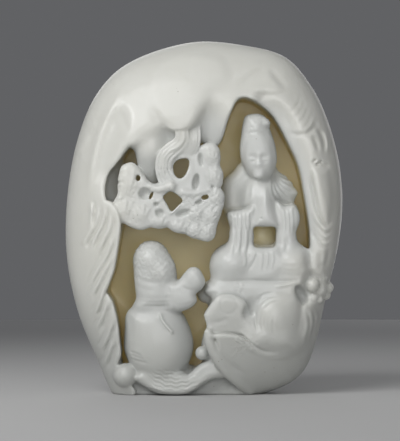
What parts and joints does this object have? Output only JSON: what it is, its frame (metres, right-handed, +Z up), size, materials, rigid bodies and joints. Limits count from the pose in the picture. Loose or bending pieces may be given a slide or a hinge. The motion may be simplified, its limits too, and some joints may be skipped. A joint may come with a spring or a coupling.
{
  "type": "jade boulder carving",
  "caption": "Upright carved jade boulder, a pebble hollowed into a grotto with a veiled seated figure, a kneeling worshipper and an openwork pine, on a flat base.",
  "frame": {"origin": "middle of the flat underside, under the middle of the stone", "axes": "+Z up, +X to the right as seen from the carved front, +Y from the carved front into the stone"},
  "size_m": [0.0886, 0.0397, 0.1125],
  "materials": {
    "white_jade": "polished"
  },
  "bodies": {
    "root": {"jade_boulder_carving": "white_jade"}
  },
  "joints": []
}
